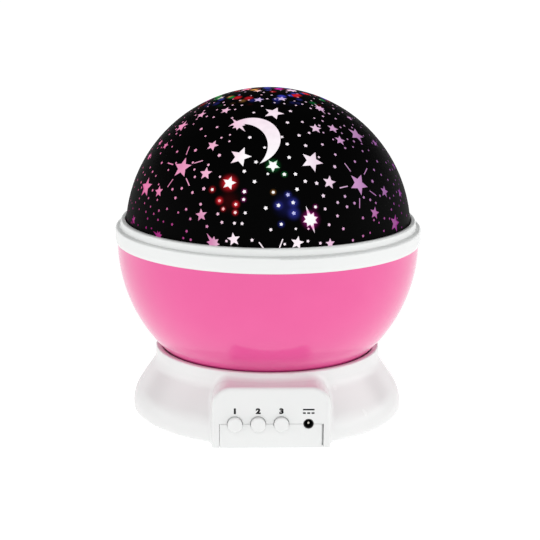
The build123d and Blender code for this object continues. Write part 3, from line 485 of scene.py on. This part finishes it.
# %% [markdown]
# ## The lamps' light
# Four lamps stand under the dome. Where the eye looks straight at one through a window it sees a hot spot
# of that colour, with a halo on the skin round it. Round the top, mostly behind it, the lamps' colours lie
# on the skin as small soft blots. Real lamps could be lit inside, but light that finds its way out through
# small windows renders slowly and with noise. So it is painted as emission that depends only on the place
# on the dome, and stays put when the camera moves.

# %% Place the hot spots and the blots
RED, GREEN, BLUE = paint("#ff2234"), paint("#12d060"), paint("#4a50e0")
MAGENTA, AMBER, WHITE = paint("#f51fc0"), paint("#ffb25a"), paint("#ffffff")
BLACK = (0, 0, 0, 1)
# azimuth and elevation in degrees, how far the spot reaches in mm, its colour, how strong its halo is
HOT_SPOTS = [
    (-19, 29, 5.0, RED, 0.65), (-26, 26, 2.2, RED, 0.35), (-22, 22, 2.5, RED, 0.55),
    (-15, 21, 2.4, RED, 0.55), (-20, 19, 1.8, RED, 0.30), (-15, 18, 2.0, RED, 0.45),
    (-12, 26, 1.8, MAGENTA, 0.25), (-12, 23, 1.7, MAGENTA, 0.25),
    (0, 36.6, 4.2, GREEN, 0.18), (5, 33, 2.0, GREEN, 0.20), (0, 26, 1.8, AMBER, 0.22),
    (6, 25, 2.4, BLUE, 0.20), (8, 22, 3.4, BLUE, 0.22), (2, 21, 3.0, BLUE, 0.24), (8, 18, 4.0, BLUE, 0.24),
    (3, 14, 2.2, BLUE, 0.20), (5, 21, 7.5, BLUE, 0.05), (-18, 22, 6.5, RED, 0.02),
    (14.5, 15.4, 5.2, MAGENTA, 0.35), (17, 20, 1.8, MAGENTA, 0.18),
]
BLOT = 4.8 * MM                 # from one blot's middle to the next
BLOTS_AT = (180, 76)            # azimuth and elevation of the middle of them all
BLOTS_END, BLOTS_FULL = 0.62 * DOME_R, 0.38 * DOME_R


def spot_place(azimuth, elevation):
    return DOME_CENTRE + outward(math.radians(azimuth), math.radians(elevation)) * DOME_R


def blots(finish, edge, middle):
    """Soft blots of painted lamp light round a place just behind the top, fading out towards the front."""
    region = finish.fade(finish.distance(spot_place(*BLOTS_AT)), BLOTS_END, BLOTS_FULL)
    return finish.fade(finish.pebbles(BLOT, "Distance"), edge, middle) * region


def thrown_colours(finish):
    """A random lamp colour for each blot."""
    pick = finish.node("ShaderNodeSeparateColor", {}, {0: finish.pebbles(BLOT, "Color")}, "Red")
    return finish.ramp(pick, (0.0, RED), (0.35, BLUE), (0.57, GREEN), (0.67, AMBER), (0.74, MAGENTA),
                       (0.80, BLUE), interpolation="CONSTANT")


print(len(HOT_SPOTS), "hot spots, and blots", round(BLOT / MM, 1), "mm apart")

# %% [markdown]
# ## Lamp light in the windows
# Every window shows the lamp-lit inside of the bowl: nearly white in the middle, rose at the left, lavender
# at the right and magenta low at the sides. Each window could have its own colour, but the lens under it
# is one piece, so one recipe gives the glow of every place. It serves the lens and the windows' walls. A
# faint noise stands for the moulded inside of the plastic.

# %% Mix the glow
ROSE, PINK, PALE_PINK = paint("#e0679f"), paint("#ec98c0"), paint("#f3bfd8")
PALE_LAVENDER, LAVENDER, VIOLET = paint("#ead2e4"), paint("#c48fc2"), paint("#7c3c86")
DEEP_MAGENTA, DEEP_VIOLET = paint("#93206f"), paint("#8a3384")
COLOUR_EDGE, COLOUR_FULL = 0.90, 0.45       # where a hot spot's colour starts, as shares of its reach
WHITE_EDGE, WHITE_FULL = 0.70, 0.35         # where its white middle starts
MOTTLE, MOTTLE_GRAIN = 0.30, 3.5 * MM


def lamp_glow(finish):
    height = (finish.along("Z") - DOME_CENTRE.z) / DOME_R
    # 0 at the dome's left edge and 1 at its right; the dome is narrow near its top, so X counts more there
    side = finish.along("X") / (2 * DOME_R) * (finish.fade(height, 0.5, 0.95) * 0.6 + 1) + 0.5
    middle_light = finish.ramp(side, (0.04, ROSE), (0.20, PINK), (0.31, PALE_PINK),
                               (0.39, paint("#fef9fc")), (0.58, paint("#fefbfe")),
                               (0.68, PALE_LAVENDER), (0.77, LAVENDER), (0.94, VIOLET))
    low_light = finish.ramp(side, (0.06, DEEP_MAGENTA), (0.20, paint("#a92b80")), (0.30, paint("#d488b4")),
                            (0.37, paint("#fbeaf4")), (0.60, paint("#fdf3f9")), (0.72, paint("#dfa6cf")),
                            (0.82, paint("#b4569b")), (0.94, DEEP_VIOLET))
    glow = finish.mix(finish.fade(height, 0.40, 0.14), middle_light, low_light)
    glow = finish.mix(finish.fade(height, 0.60, 0.92) * 0.5, glow, paint("#ecc6de"))
    glow = finish.mix(finish.fade(height, 0.90, 0.98) * 0.5, glow, paint("#d6a4cc"))
    glow = finish.mix(blots(finish, 0.75, 0.30) * 0.7, glow, thrown_colours(finish))
    for azimuth, elevation, reach, colour, _ in HOT_SPOTS:
        away = finish.distance(spot_place(azimuth, elevation))
        reach *= MM
        glow = finish.mix(finish.fade(away, COLOUR_EDGE * reach, COLOUR_FULL * reach), glow, colour)
        glow = finish.mix(finish.fade(away, WHITE_EDGE * reach, WHITE_FULL * reach), glow, WHITE)
    mottle = finish.noise(MOTTLE_GRAIN, 3.0) * MOTTLE + (1 - MOTTLE / 2)
    grey = finish.node("ShaderNodeCombineXYZ", {}, {0: mottle, 1: mottle, 2: mottle})
    return finish.mix(1.0, glow, grey, "MULTIPLY")


print("glow is mottled by", MOTTLE, "in grains of", round(MOTTLE_GRAIN / MM, 1), "mm")

# %% [markdown]
# ## Lit lens
# The real dome is clear. It could be made of glass with the bowl's inside lit behind it, but then each
# window would show whatever stands inside. It is shown glowing instead, which is what reaches the eye.

# %% Finish the lens
lens = Finish("lamp-lit lens", paint("#040304"), Roughness=0.25, Specular_IOR_Level=0.10,
              Emission_Strength=1.0)
lens.feed("Emission Color", lamp_glow(lens))
dress(lens, "dome_lens")

# %% [markdown]
# ## Black skin
# The real skin is a film with hardly any thickness, and takes almost no reflections, so its gloss is turned
# well down. Only halos and blots light its face. The skin modelled here is thicker than a film, and black
# walls would close a window that is seen from the side, so the walls pass the glow on.

# %% Finish the skin
WALL_TOP, WALL_DEEP = DOME_R - 0.05 * MM, DOME_R - 0.10 * MM    # the walls' glow sets in between these
HALO_FULL = 0.15                # where a halo is brightest, as a share of its spot's reach

black = Finish("black skin", paint("#040404"), Roughness=0.50, Specular_IOR_Level=0.01,
               Emission_Strength=1.0)
halo = black.mix(blots(black, 0.50, 0.15) * 0.8, BLACK, thrown_colours(black))
for azimuth, elevation, reach, colour, strength in HOT_SPOTS:
    reach *= MM
    near = black.fade(black.distance(spot_place(azimuth, elevation)), reach, HALO_FULL * reach)
    halo = black.mix(near ** 2 * strength, halo, colour, "ADD")
is_wall = black.fade(black.distance(DOME_CENTRE), WALL_TOP, WALL_DEEP)
black.feed("Emission Color", black.mix(is_wall, halo, lamp_glow(black)))
skin.data.materials.clear()
skin.data.materials.append(black.material)
print("skin glows at", len(HOT_SPOTS), "spots")

# %% [markdown]
# ## White plastic
# Ring, base and buttons are moulded in one glossy white plastic. One gloss all over would look drawn, and a
# moulding is never quite even, so a very faint noise in the roughness breaks up the reflections. The lower
# cover and the door are moulded with a spark-eroded grain. It is far too fine to model, so a bump shows it.

# %% Finish the white mouldings
def white_plastic(name, roughness, grain_depth):
    finish = Finish(name, paint("#e9ebea"), IOR=1.5)
    finish.roughen(roughness, 0.06, 9 * MM)
    if grain_depth > 0:
        finish.bump(finish.noise(0.35 * MM, 3.0), grain_depth)
    return finish


dress(white_plastic("glossy white shell", 0.26, 0.0), "base_shell", "dome_ring", *BUTTONS)
dress(white_plastic("grained white cover", 0.45, 0.03 * MM), "bottom_cover", "battery_door")
dress(white_plastic("satin white inside", 0.40, 0.0), "reflector_plate", "light_column")

# %% [markdown]
# ## Pink bowl
# The bowl is coloured through and polished. With one layer of gloss, its reflections and the softness of
# its colour could only be set together. A clear coat has a gloss of its own, so the reflections stay sharp
# and pale over a soft, deep pink.

# %% Finish the bowl
pink = Finish("polished pink", paint("#e84d98"), Roughness=0.45, Specular_IOR_Level=0.2, Coat_Weight=1.0,
              Coat_IOR=1.62, Coat_Roughness=0.08)
pink.feed("Base Color", pink.mix(pink.noise(14 * MM), paint("#e64795"), paint("#ea4f9a")))
dress(pink, "bowl")

# %% [markdown]
# ## Nylon
# Gear, pinion and washer are natural nylon: creamy, waxy, and a little see-through at thin edges. Cream
# paint alone would look like card, so a little light is let in under the surface.

# %% Finish the drive
nylon = Finish("natural nylon", paint("#efe8d6"), Roughness=0.42, Subsurface_Weight=0.25,
               Subsurface_Scale=1.5 * MM)
nylon.feed("Base Color", nylon.mix(nylon.noise(4 * MM), paint("#ece4cf"), paint("#f4eee0")))
dress(nylon, "drive_gear", "pinion", "thrust_washer")

# %% [markdown]
# ## Metal
# Screws, clip and shaft are zinc-plated steel, contacts are nickel, and the motor's can is drawn steel. One
# grey for all would do at this size, but each metal has its own tint and polish, so one recipe is mixed
# three times. A fine noise in the roughness stands for the marks of the tools.

# %% Finish the metal pieces
def metal(name, colour, roughness, mark):
    finish = Finish(name, colour, Metallic=1.0)
    finish.roughen(roughness, 0.22, mark, 4.0)
    return finish


dress(metal("zinc-plated steel", paint("#c2c4c8"), 0.36, 0.5 * MM), "plate_screws", "gear_screws",
      "motor_screws", "column_screws", "base_screws", "retaining_clip", "motor_shaft")
dress(metal("nickel contacts", paint("#d6d2c6"), 0.28, 0.8 * MM), "positive_contacts", "negative_springs",
      "jack_pin")
dress(metal("drawn steel can", paint("#b4b7bc"), 0.34, 1.2 * MM), "gear_motor")

# %% [markdown]
# ## Black plastic and rubber
# The inlet and the switches are black plastic, and the feet are grey rubber, dull and slightly uneven. Pure
# black would swallow their shape, so both are dark greys, and a noise keeps them from looking painted.

# %% Finish the black and rubber pieces
black_plastic = Finish("black plastic", paint("#121214"))
black_plastic.roughen(0.38, 0.10, 1.5 * MM)
dress(black_plastic, "dc_jack", "push_switches", *[f"switch_plunger_{i}" for i in (1, 2, 3)])
rubber = Finish("grey rubber", paint("#4a4b4e"))
rubber.roughen(0.82, 0.12, 2 * MM)
rubber.bump(rubber.noise(0.5 * MM, 3.0), 0.04 * MM)
dress(rubber, "rubber_feet")

# %% [markdown]
# ## Circuit boards
# Under the boards' green lacquer lies copper, whose tracks show as lighter lines. Tracks drawn one by one
# would be a lot of work for a board that is hidden in the base. But real tracks run in two directions on a
# grid, so they come from the fractions of X and Y, and a coarse noise decides where they stop.

# %% Finish the boards
TRACK_PITCH = 1.27 * MM
TRACK_WIDTH = 0.30              # as a share of the pitch

board = Finish("board lacquer", paint("#0d5a35"), Roughness=0.30)
across = (board.along("X") / TRACK_PITCH).math("FRACT") < TRACK_WIDTH
along = (board.along("Y") / TRACK_PITCH).math("FRACT") < TRACK_WIDTH
patch = board.noise(5 * MM, 1.0) > 0.5
tracks = across * patch + along * (1 - patch)
board.feed("Base Color", board.mix(tracks, paint("#0b4a2c"), paint("#1b7a48")))
dress(board, "control_board", "led_board")

# %% [markdown]
# ## Lamps
# The lamps are bullets of tinted epoxy, lit from inside. A light could be placed in each, but it would have
# to find its way out of the epoxy. So the epoxy glows by itself, a little paler in patches.

# %% Finish the lamps
for name, colour in {"warm_white_led": AMBER, "red_led": RED, "green_led": GREEN, "blue_led": BLUE}.items():
    epoxy = Finish(name + " epoxy", colour, Roughness=0.12, Emission_Strength=2.0)
    epoxy.feed("Emission Color", epoxy.mix(epoxy.noise(1.2 * MM) * 0.3, colour, WHITE))
    dress(epoxy, name)

# %% [markdown]
# ## Cells
# The cells wear a plain dark sleeve with a brass-coloured band at the positive end, and bare steel shows
# at both ends. Four finishes would need four pieces, and the cells are one CAD node. So X tells which cell
# a point is on, and as they lie head to tail, the band changes ends from one cell to the next.

# %% Finish the cells
cells_low, cells_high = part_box("aaa_cells")
CELL_COUNT = 4
STEEL_END = 1.6 * MM
BAND_START = 0.45               # as a share of the way from the cell's middle to its end

cell_reach = (cells_high.y - cells_low.y) / 2
sleeve = Finish("cell sleeve", paint("#23262c"), Roughness=0.30)
cell = ((sleeve.along("X") - cells_low.x) / ((cells_high.x - cells_low.x) / CELL_COUNT)).math("FLOOR")
facing = cell.math("MODULO", 2.0) * 2 - 1
from_middle = sleeve.along("Y") - (cells_low.y + cells_high.y) / 2
band = from_middle * facing > BAND_START * cell_reach
bare = from_middle.math("ABSOLUTE") > cell_reach - STEEL_END
wrap = sleeve.mix(band, paint("#23262c"), paint("#b98a3e"))
sleeve.feed("Base Color", sleeve.mix(bare, wrap, paint("#c9cbce")))
sleeve.feed("Metallic", bare)
dress(sleeve, "aaa_cells")

# %% [markdown]
# ## Leads
# The leads are covered in satin vinyl that is never quite even. They could all be one colour, but separate
# colours tell a repairer which lead goes where, so one recipe is mixed in three.

# %% Finish the leads
for lead, colour in (("led_lead", "#e2e2e0"), ("motor_lead", "#b3161d"), ("battery_lead", "#16161a")):
    vinyl = Finish(lead + " vinyl", paint(colour))
    vinyl.roughen(0.45, 0.14, 0.8 * MM)
    dress(vinyl, lead)

# %% [markdown]
# ## Printed numbers
# A number is printed in black over each button. It could be painted on by a material, but letters are hard
# to draw with nodes, and an edge in a mesh stays sharp from close by. So each figure is text, turned into a
# flat mesh that stands a hair proud of the plastic. Ink has hardly any thickness.

# %% Print the numbers
INK = 0.02 * MM                 # its thickness
MARK_HEIGHT = 2.4 * MM
MARK_STRETCH = 1.2              # widens the figures, which makes them bolder
MARK_RISE = 5.2 * MM            # from the buttons' middle up to the marks'
MARK_Z = CONTROL_Z + MARK_RISE
FONT_BOLD = 0.066               # thickens the strokes, as a share of the font's size
FONT_DEPTH = 0.1                # gives the figure a thickness, which is then squeezed to the ink's

ink = Finish("black print", paint("#070708"), Specular_IOR_Level=0.2)
ink.roughen(0.60, 0.10, 0.4 * MM)


def print_on_panel(mark, name, x, z):
    """Stand a mark that lies flat at the origin up on the panel's face."""
    choose(mark)
    mark.name = name
    mark.location, mark.rotation_euler = (x, PANEL_Y - INK / 2, z), (math.radians(90), 0, 0)
    bpy.ops.object.transform_apply()
    mark.data.materials.clear()
    mark.data.materials.append(ink.material)
    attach(mark, "base")


for number, button in enumerate(BUTTONS, 1):
    bpy.ops.object.text_add()
    text = bpy.context.object
    text.data.body, text.data.align_x, text.data.align_y = str(number), "CENTER", "CENTER"
    text.data.extrude, text.data.offset = FONT_DEPTH, FONT_BOLD
    bpy.ops.object.convert(target="MESH")
    digit = bpy.context.object
    scale = MARK_HEIGHT / digit.dimensions.y
    digit.dimensions = (digit.dimensions.x * scale * MARK_STRETCH, MARK_HEIGHT, INK)
    bpy.ops.object.transform_apply()
    print_on_panel(digit, f"mark_{number}", sum(corner.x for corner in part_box(button)) / 2, MARK_Z)
print("printed", len(BUTTONS), "numbers")

# %% [markdown]
# ## The inlet's sign
# Over the inlet is the general sign for direct current, a line above three dashes. A font can't be relied
# on to have it, so each stroke is drawn as a plane at its size and place, and extruded by the ink's
# thickness. The normals are recalculated at the end, so that every face points outwards.

# %% Print the sign
INLET_X = sum(corner.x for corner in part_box("jack_pin")) / 2
LINE_LENGTH, LINE_WIDTH = 4.6 * MM, 0.62 * MM
LINE_GAP = 0.72 * MM            # from the sign's middle up to the line, and down to the dashes

dash = LINE_LENGTH / 4          # the dashes stand half a dash apart
lines = [(0, LINE_GAP, LINE_LENGTH)] + [(step * 1.5 * dash, -LINE_GAP, dash) for step in (-1, 0, 1)]
strokes = []
for x, y, length in lines:
    bpy.ops.mesh.primitive_plane_add(size=1, location=(x, y, -INK / 2))
    stroke = bpy.context.object
    stroke.scale = (length, LINE_WIDTH, 1)
    bpy.ops.object.transform_apply()
    bpy.ops.object.mode_set(mode="EDIT")
    bpy.ops.mesh.extrude_region_move(TRANSFORM_OT_translate={"value": (0, 0, INK)})
    bpy.ops.mesh.select_all(action="SELECT")
    bpy.ops.mesh.normals_make_consistent(inside=False)
    bpy.ops.object.mode_set(mode="OBJECT")
    strokes.append(stroke)
choose(*strokes)
bpy.ops.object.join()
print_on_panel(bpy.context.object, "mark_direct_current", INLET_X, MARK_Z)
print("printed a sign of", len(strokes), "strokes")

# %% [markdown] ## Close The looks mustn't make the light any bigger.
